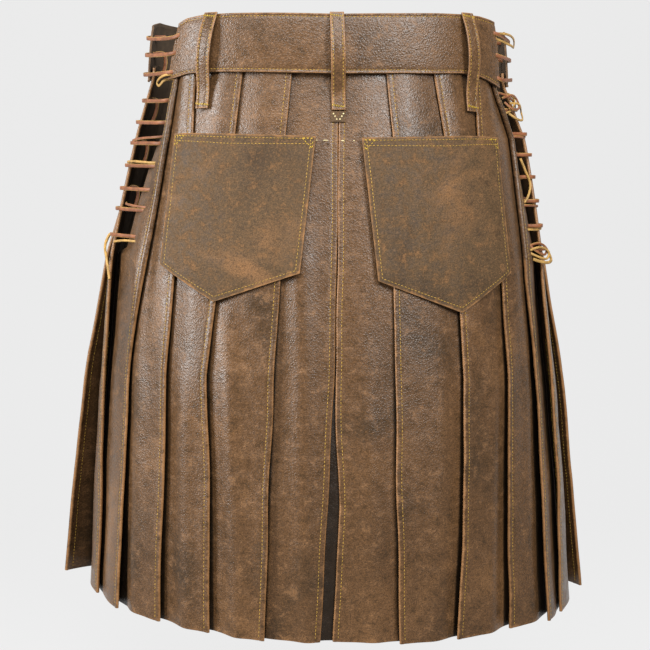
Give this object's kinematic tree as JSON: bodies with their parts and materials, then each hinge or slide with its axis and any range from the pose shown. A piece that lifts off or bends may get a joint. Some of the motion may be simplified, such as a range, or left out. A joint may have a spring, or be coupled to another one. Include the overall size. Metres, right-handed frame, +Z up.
{
  "type": "leather kilt",
  "caption": "Knee-length brown leather kilt with knife pleats, patch pockets at the back, belt loops and laced side slits, held open as if it were worn.",
  "frame": {"origin": "middle of the waist, inside the waistband of the open kilt", "axes": "+Z up towards the waistband's top edge, -Y towards the back of the kilt with its pockets, +X towards the right of the back as it is seen from behind"},
  "size_m": [0.5833, 0.374, 0.6225],
  "materials": {
    "leather_panel": "distressed brown leather, satin",
    "leather_pocket": "brushed brown leather, matte",
    "leather_band": "pebbled brown leather, satin",
    "leather_lace": "cut leather thong, matte"
  },
  "bodies": {
    "root": {"waistband_back": "leather_band", "waistband_front": "leather_band", "centre_panel_left": "leather_panel", "centre_panel_right": "leather_panel", "centre_under_panel": "leather_panel", "pleat_left_1": "leather_panel", "pleat_left_2": "leather_panel", "pleat_left_3": "leather_panel", "pleat_left_4": "leather_panel", "pleat_left_5": "leather_panel", "pleat_left_6": "leather_panel", "pleat_right_1": "leather_panel", "pleat_right_2": "leather_panel", "pleat_right_3": "leather_panel", "pleat_right_4": "leather_panel", "pleat_right_5": "leather_panel", "pleat_right_6": "leather_panel", "front_apron": "leather_panel", "pocket_left": "leather_pocket", "pocket_right": "leather_pocket", "belt_loop_left": "leather_band", "belt_loop_centre": "leather_band", "belt_loop_right": "leather_band", "loop_tab": "leather_band", "lace_left": "leather_lace", "lace_right": "leather_lace", "lace_left_tail": "leather_lace", "lace_right_tail": "leather_lace"}
  },
  "joints": []
}
